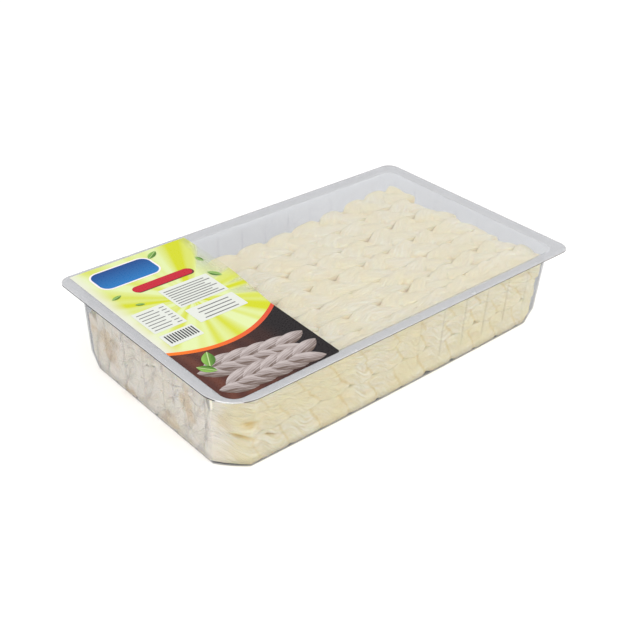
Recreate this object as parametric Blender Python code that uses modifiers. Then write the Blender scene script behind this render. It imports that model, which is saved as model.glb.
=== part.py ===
"""A sealed clear tray of braided string cheese.

A thermoformed tray with a flat rim holds three layers of plaited cheese ropes,
and a clear lid film is sealed on the rim. The ropes run along X, the base stands
on z = 0, and the origin is at the middle of the base.
"""

import math
import random

import bmesh
import bpy

MM = 0.001

# Tray, over its outside
RIM_LENGTH = 330 * MM
RIM_WIDTH = 197.5 * MM
HEIGHT = 66.5 * MM
SHEET = 0.8 * MM
RIM_BORDER = 9.8 * MM
RIM_CORNER = 10 * MM
SHOULDER_DROP = 3 * MM
WALL_TOP_LENGTH = 309 * MM
WALL_TOP_WIDTH = 171.5 * MM
WALL_LOW_LENGTH = 306 * MM
WALL_LOW_WIDTH = 168 * MM
WALL_CORNER = 6 * MM
FACET_HEIGHT = 11 * MM
FACET_REACH = 17 * MM
BASE_EDGE = 2.2 * MM

# The corner at -X, -Y, where the film is peeled: wider, with a facet of full height
PEEL_RIM_CORNER = 26.5 * MM
PEEL_WALL_CORNER = 19.4 * MM

# How straight a worked corner is: 0 is a quarter circle and 1 a flat facet
ROUND = 0.0
SOFT_FACET = 0.4
FACET = 0.8
CORNER_POINTS = 6

# Lid film, just over the rim
FILM = 0.3 * MM
FILM_INSET = 0.5 * MM
GAP = 0.3 * MM

# Cheese ropes: layers from the bottom up, ropes in a layer from the front to the back
LAYER_NAMES = ("low", "mid", "top")
LAYER_HEIGHTS = (23.6 * MM, 17.4 * MM, 16.0 * MM)
ROPES_ACROSS = 7
ROPE_CLEARANCE = 0.6 * MM
LEFT_GAP = (0.4 * MM, 2.5 * MM)
RIGHT_GAP = (1 * MM, 9 * MM)
LOW_WANDER = 1.2 * MM
LOW_WANDER_LENGTH = 170 * MM

# The top layer stops short of the back wall, and leans towards it at the right
TOP_SEAMS = (-71 * MM, -52 * MM, -32 * MM, -7 * MM, 18 * MM, 41 * MM, 68 * MM)
TOP_RIGHT_GAPS = (1 * MM, 0.5 * MM, 2 * MM, 4 * MM, 1 * MM, 11 * MM, 6 * MM)
TOP_CROWN_DROPS = (1.2 * MM, 0.4 * MM, 0.8 * MM, 0 * MM, 0.3 * MM, 0.9 * MM, 0.2 * MM)
TOP_LEAN = 11 * MM
TOP_LEAN_LENGTH = 145 * MM

# Plait of three strands: its pitch in each layer, and its form in a cell of half size 1
STRANDS = 3
PITCHES = (77 * MM, 77 * MM, 86 * MM)
PRESSES = (1.42, 1.42, 1.16)
SWAY = 0.50
RISE = 0.42
STRAND_WIDTH = 0.50
STRAND_HEIGHT = 0.58
PHASE_SPREAD = 0.3
LOBE_SWELL = 0.8 * MM
RING_LEAN = 0.6
END_SIZE = 0.84

# Rings round a rope: fine on the outside of the stack, plainer inside it
FINE_ANGLES = (0, 38, 69, 90, 111, 142, 180, 235, 305)
FINE_RINGS_PER_PITCH = 10
PLAIN_ANGLES = (0, 52, 90, 128, 180, 232, 270, 308)
PLAIN_RINGS_PER_PITCH = 4
END_STEP = 0.4
LEAN_RINGS = 2

RIM_UNDERSIDE = HEIGHT - SHEET
SHOULDER = RIM_UNDERSIDE - SHOULDER_DROP
INNER_FLOOR = SHEET + GAP


def clear_scene():
    """Remove every object, so that the file holds only the pack."""
    for item in list(bpy.data.objects):
        bpy.data.objects.remove(item, do_unlink=True)


def plain_material(name, colour, roughness, alpha=1.0):
    """A Principled surface of one colour."""
    material = bpy.data.materials.new(name)
    material.use_nodes = True
    shader = material.node_tree.nodes["Principled BSDF"]
    shader.inputs["Base Color"].default_value = (*colour, 1.0)
    shader.inputs["Roughness"].default_value = roughness
    shader.inputs["Metallic"].default_value = 0.0
    shader.inputs["Alpha"].default_value = alpha
    return material


def add_object(name, bm, material, collection):
    """Turn a bmesh into a named object in the pack's collection."""
    bmesh.ops.recalc_face_normals(bm, faces=bm.faces)
    mesh = bpy.data.meshes.new(name)
    bm.to_mesh(mesh)
    bm.free()
    mesh.materials.append(material)
    item = bpy.data.objects.new(name, mesh)
    collection.objects.link(item)
    return item


def loft(rings):
    """An open skin through rings that have the same number of points."""
    bm = bmesh.new()
    loops = [[bm.verts.new(point) for point in ring] for ring in rings]
    for loop, next_loop in zip(loops, loops[1:]):
        count = len(loop)
        for index in range(count):
            after = (index + 1) % count
            bm.faces.new((loop[index], next_loop[index], next_loop[after], loop[after]))
    return bm, loops


def corner_curve(reach, flatness):
    """One corner as steps back from its sharp point, from its X side to its Y side."""
    steps = []
    for index in range(CORNER_POINTS):
        share = index / (CORNER_POINTS - 1)
        turn = share * math.pi / 2
        x_back = (1 - flatness) * (1 - math.cos(turn)) + flatness * share
        y_back = (1 - flatness) * (1 - math.sin(turn)) + flatness * (1 - share)
        steps.append((reach * x_back, reach * y_back))
    return steps


def outline(length, width, height, corner, peel_corner):
    """A rectangle with worked corners at one height; a corner is a reach and a flatness."""
    points = []
    for x_sign, y_sign in ((1, 1), (-1, 1), (-1, -1), (1, -1)):
        at_peel = x_sign < 0 and y_sign < 0
        steps = corner_curve(*(peel_corner if at_peel else corner))
        if x_sign != y_sign:
            steps.reverse()
        for x_back, y_back in steps:
            x = x_sign * (length / 2 - x_back)
            y = y_sign * (width / 2 - y_back)
            points.append((x, y, height))
    return points


def tray_rings():
    """The tray's outer surface, from the rim's edge down to the base."""
    round_corner = (RIM_CORNER, ROUND)
    wall_corner = (WALL_CORNER, ROUND)
    peel_rim = (PEEL_RIM_CORNER, ROUND)
    peel_mouth = (PEEL_WALL_CORNER, SOFT_FACET)
    peel_wall = (PEEL_WALL_CORNER, FACET)
    mouth_length = RIM_LENGTH - 2 * RIM_BORDER
    mouth_width = RIM_WIDTH - 2 * RIM_BORDER
    base_length = WALL_LOW_LENGTH - 2 * BASE_EDGE
    base_width = WALL_LOW_WIDTH - 2 * BASE_EDGE
    heel_reach = FACET_REACH - (FACET_REACH - WALL_CORNER) * BASE_EDGE / FACET_HEIGHT
    return [
        outline(RIM_LENGTH, RIM_WIDTH, RIM_UNDERSIDE, round_corner, peel_rim),
        outline(mouth_length, mouth_width, RIM_UNDERSIDE, round_corner, peel_mouth),
        outline(WALL_TOP_LENGTH, WALL_TOP_WIDTH, SHOULDER, wall_corner, peel_wall),
        outline(WALL_LOW_LENGTH, WALL_LOW_WIDTH, FACET_HEIGHT, wall_corner, peel_wall),
        outline(WALL_LOW_LENGTH, WALL_LOW_WIDTH, BASE_EDGE, (heel_reach, FACET), peel_wall),
        outline(base_length, base_width, 0.0, (FACET_REACH, FACET), peel_wall),
    ]


def make_tray(collection):
    """The formed sheet: one skin from the rim's edge to the base, thickened inwards."""
    bm, loops = loft(tray_rings())
    bm.faces.new(loops[-1])
    material = plain_material("tray_plastic", colour=(0.80, 0.81, 0.86), roughness=0.12, alpha=0.3)
    tray = add_object("tray", bm, material, collection)
    thickness = tray.modifiers.new("sheet_thickness", "SOLIDIFY")
    thickness.thickness = SHEET
    thickness.offset = 1.0


def make_film(collection):
    """The flat lid film, as a thin plate over the rim."""
    length = RIM_LENGTH - 2 * FILM_INSET
    width = RIM_WIDTH - 2 * FILM_INSET
    corner = (RIM_CORNER - FILM_INSET, ROUND)
    peel_corner = (PEEL_RIM_CORNER - FILM_INSET, ROUND)
    bm = bmesh.new()
    points = outline(length, width, HEIGHT + GAP, corner, peel_corner)
    bm.faces.new([bm.verts.new(point) for point in points])
    material = plain_material("film_plastic", colour=(0.92, 0.92, 0.94), roughness=0.08, alpha=0.2)
    film = add_object("lid_film", bm, material, collection)
    thickness = film.modifiers.new("film_thickness", "SOLIDIFY")
    thickness.thickness = FILM
    thickness.offset = 1.0


def room(z):
    """Half length and half width of the room inside the tray at a height."""
    share = (z - FACET_HEIGHT) / (SHOULDER - FACET_HEIGHT)
    share = min(max(share, 0.0), 1.0)
    length = WALL_LOW_LENGTH + (WALL_TOP_LENGTH - WALL_LOW_LENGTH) * share
    width = WALL_LOW_WIDTH + (WALL_TOP_WIDTH - WALL_LOW_WIDTH) * share
    inwards = SHEET + GAP + max(0.0, BASE_EDGE - z)
    return length / 2 - inwards, width / 2 - inwards


def inner_side(x, z, y_sign):
    """The y of the tray's inner surface on one long side, with its corner facets."""
    half_length, half_width = room(z)
    reach = PEEL_WALL_CORNER
    if x > 0 or y_sign > 0:
        reach = WALL_CORNER + (FACET_REACH - WALL_CORNER) * max(0.0, 1 - z / FACET_HEIGHT)
    into_corner = max(0.0, reach - (half_length - abs(x)))
    return y_sign * (half_width - into_corner)


def smooth_step(share):
    """A smooth rise from 0 to 1."""
    share = min(max(share, 0.0), 1.0)
    return share * share * (3 - 2 * share)


def phase_at(layer, index, x):
    """The plait's phase at a place along a rope; each rope starts a little differently."""
    shift = random.Random(f"phase {layer} {index}").uniform(-PHASE_SPREAD, PHASE_SPREAD)
    return 2 * math.pi * x / PITCHES[layer] + shift


def lobe_swell(layer, index, x):
    """How far a seam bulges to +Y, where the lobes of its front rope press into the next one."""
    phase = (phase_at(layer, index - 1, x) + phase_at(layer, index, x)) / 2
    return -LOBE_SWELL * math.sin(STRANDS * phase)


def seam(layer, index, x, z):
    """The y of a seam between two ropes; the first and the last are the tray's walls."""
    front = inner_side(x, z, -1)
    back = inner_side(x, z, 1)
    if index == 0:
        return front
    if LAYER_NAMES[layer] == "top":
        y = TOP_SEAMS[index - 1] + TOP_LEAN * smooth_step(x / TOP_LEAN_LENGTH)
        if index < ROPES_ACROSS:
            y += lobe_swell(layer, index, x)
        return min(max(y, front), back)
    if index == ROPES_ACROSS:
        return back
    turn = 2 * math.pi * x / LOW_WANDER_LENGTH + math.pi * layer
    y = room(HEIGHT / 2)[1] * (2 * index / ROPES_ACROSS - 1) + LOW_WANDER * math.sin(turn)
    return min(max(y, front), back)


def is_outside(layer, index):
    """Whether a rope lies on the top or the front of the stack."""
    return LAYER_NAMES[layer] == "top" or index == 0


def plait_reach(angle, phase, press):
    """From the middle of a pressed plait to its surface, in a cell of half size 1."""
    across = math.cos(angle)
    up = math.sin(angle)
    reach = 0.0
    for strand in range(STRANDS):
        turn = phase + 2 * math.pi * strand / STRANDS
        centre_y = SWAY * math.sin(turn)
        centre_z = RISE * math.sin(2 * turn)
        a = (across / STRAND_WIDTH) ** 2 + (up / STRAND_HEIGHT) ** 2
        b = across * centre_y / STRAND_WIDTH**2 + up * centre_z / STRAND_HEIGHT**2
        c = (centre_y / STRAND_WIDTH) ** 2 + (centre_z / STRAND_HEIGHT) ** 2 - 1
        inside = b * b - a * c
        if inside > 0:
            reach = max(reach, (b + math.sqrt(inside)) / a)
    return min(press * reach, 1 / max(abs(across), abs(up)))


def rope_span(layer, index):
    """The two ends of a rope: pressed on the left wall, and short of the right one."""
    draws = random.Random(f"ends {layer} {index}")
    half_length = room(HEIGHT / 2)[0]
    left_gap = draws.uniform(*LEFT_GAP)
    right_gap = draws.uniform(*RIGHT_GAP)
    if LAYER_NAMES[layer] == "top":
        right_gap = TOP_RIGHT_GAPS[index]
    return left_gap - half_length, half_length - right_gap


def stations(layer, index):
    """Places of a rope's rings: its two cut ends, and steps that fall on its lobes."""
    start, end = rope_span(layer, index)
    rings_per_pitch = FINE_RINGS_PER_PITCH if is_outside(layer, index) else PLAIN_RINGS_PER_PITCH
    step = PITCHES[layer] / rings_per_pitch
    first_lobe = math.pi / (2 * STRANDS) - phase_at(layer, index, 0.0)
    offset = first_lobe / (2 * math.pi) * PITCHES[layer]
    number = math.ceil((start - offset) / step)
    places = [start]
    while offset + number * step < end:
        place = offset + number * step
        if min(place - start, end - place) > step * END_STEP:
            places.append(place)
        number += 1
    places.append(end)
    return places


def rope_rings(layer, index):
    """Rings of points along one rope, each leaning with the slant of its strands."""
    places = stations(layer, index)
    crown_drop = TOP_CROWN_DROPS[index] if LAYER_NAMES[layer] == "top" else 0.0
    floor = INNER_FLOOR + sum(LAYER_HEIGHTS[:layer])
    half_height = (LAYER_HEIGHTS[layer] - GAP - crown_drop) / 2
    rings = []
    for step, place in enumerate(places):
        steps_from_end = min(step, len(places) - 1 - step)
        lean = RING_LEAN * min(1.0, steps_from_end / LEAN_RINGS)
        size = END_SIZE if steps_from_end == 0 else 1.0
        ring = []
        for degrees in FINE_ANGLES if is_outside(layer, index) else PLAIN_ANGLES:
            angle = math.radians(degrees)
            x = place - lean * half_height * math.sin(angle)
            reach = size * plait_reach(angle, phase_at(layer, index, x), PRESSES[layer])
            z = floor + half_height * (1 + reach * math.sin(angle))
            front = seam(layer, index, x, z) + ROPE_CLEARANCE / 2
            back = seam(layer, index + 1, x, z) - ROPE_CLEARANCE / 2
            y = (front + back) / 2 + (back - front) / 2 * reach * math.cos(angle)
            ring.append((x, y, z))
        rings.append(ring)
    return rings


def make_rope(layer, index, material, collection):
    """One plaited rope: a loft through its rings, closed by its two cut ends."""
    bm, loops = loft(rope_rings(layer, index))
    bm.faces.new(loops[0])
    bm.faces.new(loops[-1])
    rope = add_object(f"rope_{LAYER_NAMES[layer]}_{index + 1}", bm, material, collection)
    rope.data.shade_smooth()


def build():
    """Make the pack in its own collection."""
    clear_scene()
    collection = bpy.data.collections.new("string_cheese_pack")
    bpy.context.scene.collection.children.link(collection)
    make_tray(collection)
    make_film(collection)
    cheese = plain_material("string_cheese", colour=(0.85, 0.79, 0.62), roughness=0.45)
    for layer in range(len(LAYER_NAMES)):
        for index in range(ROPES_ACROSS):
            make_rope(layer, index, cheese, collection)


build()
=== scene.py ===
"""Looks of a sealed clear tray of braided string cheese.

The sections follow the pack as it is made: the formed tray, the plaited ropes laid in it,
the lid film sealed on the rim, the print on the film, and last the floor, the light and
the camera. Lengths are in metres in the part's own frame: X along the ropes, Z up.
"""

import math
import random

import bmesh
import bpy
import numpy as np
from mathutils import Matrix, Vector


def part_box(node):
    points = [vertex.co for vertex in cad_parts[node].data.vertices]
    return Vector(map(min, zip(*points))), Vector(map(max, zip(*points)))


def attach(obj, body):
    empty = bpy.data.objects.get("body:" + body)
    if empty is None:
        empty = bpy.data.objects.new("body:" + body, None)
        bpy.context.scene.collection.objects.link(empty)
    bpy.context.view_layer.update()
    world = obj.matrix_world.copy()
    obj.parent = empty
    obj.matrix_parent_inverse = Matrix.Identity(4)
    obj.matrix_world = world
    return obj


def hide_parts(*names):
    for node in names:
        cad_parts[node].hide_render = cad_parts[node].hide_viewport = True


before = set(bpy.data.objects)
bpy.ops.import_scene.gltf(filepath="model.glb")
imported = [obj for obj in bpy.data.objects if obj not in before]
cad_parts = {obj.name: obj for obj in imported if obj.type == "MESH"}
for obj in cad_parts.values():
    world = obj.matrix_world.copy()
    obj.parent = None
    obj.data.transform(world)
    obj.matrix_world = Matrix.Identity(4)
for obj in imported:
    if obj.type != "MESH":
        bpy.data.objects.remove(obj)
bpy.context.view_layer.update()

MM = 0.001


# ---------------------------------------------------------------------------
# Tray: one sheet of clear plastic, heated and drawn over a mould. Its long walls bow a little
# and carry shallow upright flutes, and its corners end in facets at the base. The flat rim is
# wider at the corner where the film is peeled. Its cut edge is painted dark grey as shade,
# nearly black at the peel end.

tray_low, tray_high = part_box("tray")
RIM_LENGTH = tray_high[0] - tray_low[0]
RIM_WIDTH = tray_high[1] - tray_low[1]
RIM_TOP = tray_high[2]
SHEET = 0.8 * MM
RIM_BORDER = 9.8 * MM
RIM_CORNER = 10 * MM
SHOULDER_DROP = 3 * MM
WALL_TOP_LENGTH = 309 * MM
WALL_TOP_WIDTH = 174.5 * MM
WALL_LOW_LENGTH = 306 * MM
WALL_LOW_WIDTH = 168.4 * MM
WALL_CORNER = 6 * MM
FACET_HEIGHT = 11 * MM
FACET_REACH = 15 * MM
BASE_EDGE = 1.5 * MM
WALL_BOW = 1.2 * MM
RIM_UNDERSIDE = RIM_TOP - SHEET
SHOULDER = RIM_UNDERSIDE - SHOULDER_DROP

# The corner where the film is peeled is wider, and narrows towards the base.
PEEL_RIM_CORNER = 26.5 * MM
PEEL_WALL_CORNER = 21.6 * MM
PEEL_BASE_CORNER = 17.3 * MM

# How straight a worked corner is: 0 is a quarter circle and 1 is a flat facet.
ROUND = 0.0
SOFT_FACET = 0.4
FACET = 0.8

# Where the front wall is full, the flat rim's inner edge stands further out.
FRONT_MOUTH = 3.5 * MM

# The flutes stand at one pitch along each wall and fade out at the shoulder and the base.
FLUTE_PITCH = 23.6 * MM
FLUTE_WIDTH = 1.5 * MM
FLUTE_DEPTH = 0.45 * MM
LONG_FLUTE_SHIFT = 14.6 * MM
SHORT_FLUTE_SHIFT = 9.5 * MM
SHORT_FLUTE_REACH = 68 * MM
FLUTE_FADE = 5 * MM
WALL_MARGIN = 1.5 * MM

# How finely the sheet is drawn, and how softly it bends.
CORNER_STEPS = 15
LONG_SIDE_STEPS = 156
SHORT_SIDE_STEPS = 84
BEND_STEPS = 5
RIM_BEND = 0.9 * MM
BASE_BEND = 1.0 * MM
WELD_SHARE = 0.36
RIM_RINGS = (0.0, 0.06, WELD_SHARE, 0.7)
WALL_RINGS = (0.05, 0.1, 0.3, 0.5, 0.7, 0.9, 0.95)
INNER_BASE = 0.9


def outline_ring(length, width, height, corner, peel_corner):
    """Points round a box with worked corners; a corner is a reach and a flatness."""
    ends = []
    for x_sign, y_sign in ((1, -1), (1, 1), (-1, 1), (-1, -1)):
        reach, flatness = peel_corner if (x_sign < 0 and y_sign < 0) else corner
        steps = []
        for index in range(CORNER_STEPS):
            share = index / (CORNER_STEPS - 1)
            turn = share * math.pi / 2
            x_back = (1 - flatness) * (1 - math.cos(turn)) + flatness * share
            y_back = (1 - flatness) * (1 - math.sin(turn)) + flatness * (1 - share)
            steps.append((x_sign * (length / 2 - reach * x_back), y_sign * (width / 2 - reach * y_back)))
        if x_sign != y_sign:
            steps.reverse()
        ends.append(steps)
    points = []
    for number, steps in enumerate(ends):
        points += steps
        start, end = steps[-1], ends[(number + 1) % 4][0]
        count = SHORT_SIDE_STEPS if number % 2 == 0 else LONG_SIDE_STEPS
        for index in range(1, count):
            share = index / count
            x = start[0] + (end[0] - start[0]) * share
            points.append((x, start[1] + (end[1] - start[1]) * share))
    ring = np.empty((len(points), 3))
    ring[:, :2] = points
    ring[:, 2] = height
    return ring


def bend_rings(before, at, after, radius):
    """Rings that turn softly from one stretch of the sheet into the next."""
    start = at + (before - at) * min(0.5, radius / np.abs(before - at).max())
    end = at + (after - at) * min(0.5, radius / np.abs(after - at).max())
    rings = []
    for index in range(BEND_STEPS):
        share = index / (BEND_STEPS - 1)
        rings.append((1 - share) ** 2 * start + 2 * share * (1 - share) * at + share**2 * end)
    return rings


def wall_bow(x, z):
    """How far the full tray's long walls bow outwards at a place."""
    along = np.clip(1 - (x / (WALL_LOW_LENGTH / 2)) ** 2, 0, 1)
    return WALL_BOW * along * np.clip((SHOULDER - z) / (SHOULDER - FACET_HEIGHT), 0, 1)


def bowed(ring):
    """Bow the long walls of a ring outwards."""
    result = ring.copy()
    near_wall = np.clip((np.abs(ring[:, 1]) - WALL_LOW_WIDTH / 4) / (WALL_LOW_WIDTH / 8), 0, 1)
    result[:, 1] += np.sign(ring[:, 1]) * near_wall * wall_bow(ring[:, 0], ring[:, 2])
    return result


def fluted(ring):
    """Push the wall out along its upright flutes, fading at the shoulder and at the base."""
    result = ring.copy()
    x, y, z = ring[:, 0], ring[:, 1], ring[:, 2]
    fade = np.clip((SHOULDER - z) / FLUTE_FADE, 0, 1) * np.clip((z - FACET_HEIGHT) / FLUTE_FADE, 0, 1)
    long_wall = np.abs(y) > WALL_LOW_WIDTH / 2 - WALL_MARGIN
    short_wall = np.abs(x) > WALL_LOW_LENGTH / 2 - WALL_MARGIN
    along = np.where(long_wall, x - LONG_FLUTE_SHIFT, y - SHORT_FLUTE_SHIFT)
    away = (along / FLUTE_PITCH + 0.5) % 1 - 0.5
    ridge = np.exp(-((away * FLUTE_PITCH / FLUTE_WIDTH) ** 2)) * FLUTE_DEPTH * fade
    long_reach = WALL_LOW_LENGTH / 2 - PEEL_WALL_CORNER
    ridge = ridge * np.where(long_wall, np.abs(x) < long_reach, np.abs(y) < SHORT_FLUTE_REACH)
    result[:, 1] += np.where(long_wall, np.sign(y) * ridge, 0)
    result[:, 0] += np.where(short_wall & ~long_wall, np.sign(x) * ridge, 0)
    return result


def tray_skin():
    """The sheet's outer surface as rings, from the rim's cut edge down to the base."""
    rim_corner = (RIM_CORNER, ROUND)
    wall_corner = (WALL_CORNER, ROUND)
    peel_base = (PEEL_BASE_CORNER, FACET)
    heel_reach = FACET_REACH - (FACET_REACH - WALL_CORNER) * BASE_EDGE / FACET_HEIGHT
    rim = outline_ring(RIM_LENGTH, RIM_WIDTH, RIM_UNDERSIDE, rim_corner, (PEEL_RIM_CORNER, ROUND))
    mouth = outline_ring(
        RIM_LENGTH - 2 * RIM_BORDER,
        RIM_WIDTH - 2 * RIM_BORDER,
        RIM_UNDERSIDE,
        rim_corner,
        (PEEL_WALL_CORNER, SOFT_FACET),
    )
    mouth[:, 1] -= FRONT_MOUTH * np.clip(-mouth[:, 1] / (RIM_WIDTH / 4) - 1, 0, 1)
    wall_top = outline_ring(WALL_TOP_LENGTH, WALL_TOP_WIDTH, SHOULDER, wall_corner, (PEEL_WALL_CORNER, FACET))
    wall_low = bowed(outline_ring(WALL_LOW_LENGTH, WALL_LOW_WIDTH, FACET_HEIGHT, wall_corner, peel_base))
    heel = bowed(outline_ring(WALL_LOW_LENGTH, WALL_LOW_WIDTH, BASE_EDGE, (heel_reach, FACET), peel_base))
    base_length = WALL_LOW_LENGTH - 2 * BASE_EDGE
    base_width = WALL_LOW_WIDTH - 2 * BASE_EDGE
    base = bowed(outline_ring(base_length, base_width, 0.0, (FACET_REACH, FACET), peel_base))
    rings = [rim + (mouth - rim) * share for share in RIM_RINGS]
    rings += bend_rings(rim, mouth, wall_top, RIM_BEND)
    rings += bend_rings(mouth, wall_top, wall_low, RIM_BEND)
    rings += [fluted(wall_top + (wall_low - wall_top) * share) for share in WALL_RINGS]
    rings += bend_rings(wall_top, wall_low, heel, RIM_BEND)
    rings += bend_rings(wall_low, heel, base, BASE_BEND)
    rings += bend_rings(heel, base, base * (INNER_BASE, INNER_BASE, 1.0), BASE_BEND)
    return rings


def link_piece(name, mesh, body="root"):
    """Put a mesh in the scene as a piece that rides on the pack."""
    piece = bpy.data.objects.new(name, mesh)
    bpy.context.scene.collection.objects.link(piece)
    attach(piece, body)
    return piece


def ring_mesh(name, rings, closed_top=False, closed_base=True):
    """A mesh through rings with equal numbers of points, closed by flat ends where asked."""
    count = len(rings[0])
    vertices = np.concatenate(rings)
    faces = []
    for row in range(len(rings) - 1):
        here, there = row * count, (row + 1) * count
        for index in range(count):
            after = (index + 1) % count
            faces.append((here + index, here + after, there + after, there + index))
    if closed_top:
        faces.append(tuple(range(count)))
    if closed_base:
        last = (len(rings) - 1) * count
        faces.append(tuple(reversed(range(last, last + count))))
    mesh = bpy.data.meshes.new(name)
    mesh.from_pydata(vertices.tolist(), [], faces)
    bm = bmesh.new()
    bm.from_mesh(mesh)
    bmesh.ops.recalc_face_normals(bm, faces=bm.faces)
    bm.to_mesh(mesh)
    bm.free()
    return mesh


def new_material(name):
    """A material with an empty node tree, its tree and its surface socket."""
    material = bpy.data.materials.new(name)
    material.use_nodes = True
    tree = material.node_tree
    tree.nodes.clear()
    return material, tree, tree.nodes.new("ShaderNodeOutputMaterial").inputs["Surface"]


def mask_group(name, inputs, outputs):
    """A node group of masks, with its inputs and its outputs by name."""
    group = bpy.data.node_groups.new(name, "ShaderNodeTree")
    for direction, sockets in (("INPUT", inputs), ("OUTPUT", outputs)):
        for socket in sockets:
            group.interface.new_socket(socket, in_out=direction, socket_type="NodeSocketFloat")
    given = group.nodes.new("NodeGroupInput")
    result = group.nodes.new("NodeGroupOutput")
    return group, given.outputs, result.inputs


def feed(tree, socket, value):
    """Give a socket the output of another node, a colour or a number."""
    if isinstance(value, bpy.types.NodeSocket):
        tree.links.new(value, socket)
    else:
        socket.default_value = (*value, 1.0) if socket.type == "RGBA" else value


def fed(tree, node, **sockets):
    """Feed a node's sockets by name, with underscores for spaces."""
    for name, value in sockets.items():
        feed(tree, node.inputs[name.replace("_", " ")], value)
    return node


def new_node(tree, kind, **sockets):
    """A node of a kind with its sockets fed."""
    return fed(tree, tree.nodes.new(kind), **sockets)


def placed(tree, group, **sockets):
    """A node group placed in a material with the material's own values."""
    node = tree.nodes.new("ShaderNodeGroup")
    node.node_tree = group
    return fed(tree, node, **sockets)


def object_place(tree):
    """The place on the pack, in the pack's own frame."""
    return tree.nodes.new("ShaderNodeTexCoord").outputs["Object"]


def axes_of(tree, vector):
    """The three parts of a vector."""
    split = new_node(tree, "ShaderNodeSeparateXYZ", Vector=vector)
    return [split.outputs[axis] for axis in "XYZ"]


def step_on(tree, kind, operation, values):
    """One step of arithmetic by a kind of node; each value is fixed or another node's output."""
    step = tree.nodes.new(kind)
    step.operation = operation
    for socket, value in zip(step.inputs, values):
        feed(tree, socket, value)
    return step.outputs[0]


def arithmetic(tree, operation, *values):
    """One step of arithmetic on numbers."""
    return step_on(tree, "ShaderNodeMath", operation, values)


def vector_step(tree, operation, *values):
    """One step of arithmetic on places."""
    return step_on(tree, "ShaderNodeVectorMath", operation, values)


def mapped(tree, value, low, high, to_low=0.0, to_high=1.0):
    """Stretch a mask from one range to another."""
    ranges = {"From_Min": low, "From_Max": high, "To_Min": to_low, "To_Max": to_high}
    return new_node(tree, "ShaderNodeMapRange", Value=value, **ranges).outputs["Result"]


def noise(tree, place, scale, detail=2.0, roughness=0.5, distortion=0.0):
    """Soft uneven patches, as a mask."""
    grain = {"Scale": scale, "Detail": detail, "Roughness": roughness, "Distortion": distortion}
    return new_node(tree, "ShaderNodeTexNoise", Vector=place, **grain).outputs["Fac"]


def mix_colours(tree, amount, first, second):
    """A colour mix; each side is a colour or the output of another node."""
    mix = tree.nodes.new("ShaderNodeMix")
    mix.data_type = "RGBA"
    tree.links.new(amount, mix.inputs["Factor"])
    feed(tree, mix.inputs[6], first)
    feed(tree, mix.inputs[7], second)
    return mix.outputs[2]


def mix_shaders(tree, amount, first, second, surface):
    """Lay one shader over another on a material's surface."""
    mix = new_node(tree, "ShaderNodeMixShader", Fac=amount)
    tree.links.new(first.outputs["BSDF"], mix.inputs[1])
    tree.links.new(second.outputs["BSDF"], mix.inputs[2])
    tree.links.new(mix.outputs["Shader"], surface)


def relief(tree, height, strength, distance):
    """The normals of a surface raised by a height mask."""
    bump = new_node(tree, "ShaderNodeBump", Height=height, Strength=strength, Distance=distance)
    return bump.outputs["Normal"]


def sheet_ripple_group():
    """Faint ripples and rub marks of drawn plastic, as a bump height and a haze mask."""
    tree, given, result = mask_group("Drawn sheet", ("Ripple size", "Rub size"), ("Height", "Haze"))
    place = object_place(tree)
    tree.links.new(noise(tree, place, given["Ripple size"]), result["Height"])
    rub = noise(tree, place, given["Rub size"], detail=5.0, roughness=0.65)
    tree.links.new(mapped(tree, rub, 0.35, 0.75), result["Haze"])
    return tree


# A flute's crest is painted as a thin soft line of shade, and the base of the walls as a band of
# painted shade. The lines don't show on the left half of the front wall, where the curd is pressed against
# it.
LINE_EDGE = 0.6 * MM
LINE_CORE = 0.2 * MM
LINE_STRENGTH = 0.5
LINE_SHADE = 0.76
LINE_FADE_LOW = 6 * MM
LINE_FADE_TOP = 5 * MM
LINE_WALL = (3 * MM, 2 * MM)
PRESSED_FADE = 40 * MM
SHADED_BASE = (8 * MM, 3 * MM)


def flute_shade_group():
    """Painted shade: thin upright lines along the flutes' crests and a band at the base of the walls."""
    tree, _, result = mask_group("Flute shade lines", (), ("Line",))
    x, y, z = axes_of(tree, object_place(tree))

    def step(operation, first, second=0.0):
        return arithmetic(tree, operation, first, second)

    def stretched(value, low, high):
        return mapped(tree, value, low, high)

    def wall_lines(along, shift, aside, half_room):
        away = step("PINGPONG", step("SUBTRACT", along, shift), FLUTE_PITCH / 2)
        on_wall = stretched(step("ABSOLUTE", aside), half_room - LINE_WALL[0], half_room - LINE_WALL[1])
        return step("MULTIPLY", stretched(away, LINE_EDGE, LINE_CORE), on_wall)

    bare = step("MAXIMUM", stretched(x, 0.0, PRESSED_FADE), stretched(y, 0.0, 1 * MM))
    long_lines = step("MULTIPLY", wall_lines(x, LONG_FLUTE_SHIFT, y, WALL_LOW_WIDTH / 2), bare)
    short_lines = wall_lines(y, SHORT_FLUTE_SHIFT, x, WALL_LOW_LENGTH / 2)
    line = step("MULTIPLY", step("MAXIMUM", long_lines, short_lines), LINE_STRENGTH)
    line = step("MULTIPLY", line, stretched(z, FACET_HEIGHT, FACET_HEIGHT + LINE_FADE_LOW))
    line = step("MULTIPLY", line, stretched(z, SHOULDER, SHOULDER - LINE_FADE_TOP))
    band = step("MULTIPLY", stretched(z, *SHADED_BASE), LINE_STRENGTH)
    tree.links.new(step("MAXIMUM", line, band), result["Line"])
    return tree


drawn_sheet = sheet_ripple_group()
flute_shade_lines = flute_shade_group()
RUB_SIZE = 60.0
RUB_ROUGHNESS = 0.05
RIPPLE_STRENGTH = 0.15
SLANT_POWER = 2.4


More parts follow.
